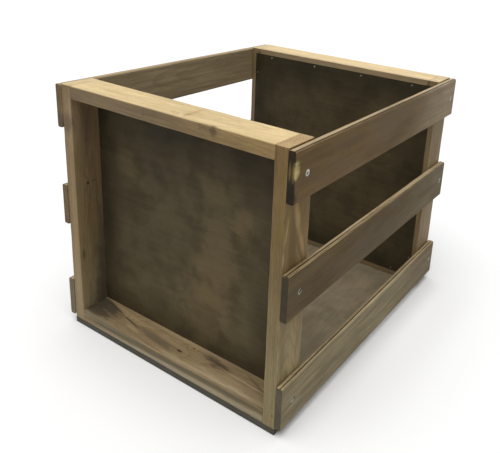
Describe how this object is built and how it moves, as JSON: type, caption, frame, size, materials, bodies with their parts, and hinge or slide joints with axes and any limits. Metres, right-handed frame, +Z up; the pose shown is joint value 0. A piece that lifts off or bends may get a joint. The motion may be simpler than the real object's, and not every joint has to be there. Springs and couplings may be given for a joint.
{
  "type": "record storage box",
  "caption": "Open-topped slatted wooden box for 12-inch records: plywood-panelled end frames set back as finger holds, slats screwed along the sides, board base.",
  "frame": {"origin": "centre of the underside of the base board, on the ground", "axes": "+Z up, +Y from the front end frame to the back end frame, +X to the right seen from the front"},
  "size_m": [0.348, 0.414, 0.33],
  "materials": {
    "frame_board": "planed softwood, thin grey-brown stain under a matt wax, paler on the top faces",
    "slat_board": "planed softwood, darker grey-brown stain, arrises rubbed back to pale wood",
    "panel_ply": "thin plywood with a dark olive-brown stain, soft mottled figure",
    "base_ply": "plywood with a dark grey-brown stain on its edges and inner face",
    "screw_steel": "bright zinc-plated steel",
    "pin_steel": "bright steel, slightly dulled"
  },
  "bodies": {
    "root": {"front_left_stile": "frame_board", "front_right_stile": "frame_board", "front_top_rail": "frame_board", "front_bottom_rail": "frame_board", "back_left_stile": "frame_board", "back_right_stile": "frame_board", "back_top_rail": "frame_board", "back_bottom_rail": "frame_board", "front_panel": "panel_ply", "back_panel": "panel_ply", "left_bottom_slat": "slat_board", "left_middle_slat": "slat_board", "left_top_slat": "slat_board", "right_bottom_slat": "slat_board", "right_middle_slat": "slat_board", "right_top_slat": "slat_board", "base_board": "base_ply", "left_slat_screws": "screw_steel", "right_slat_screws": "screw_steel", "front_frame_screws": "screw_steel", "back_frame_screws": "screw_steel", "base_screws": "screw_steel", "front_panel_pins": "pin_steel", "back_panel_pins": "pin_steel"}
  },
  "joints": []
}
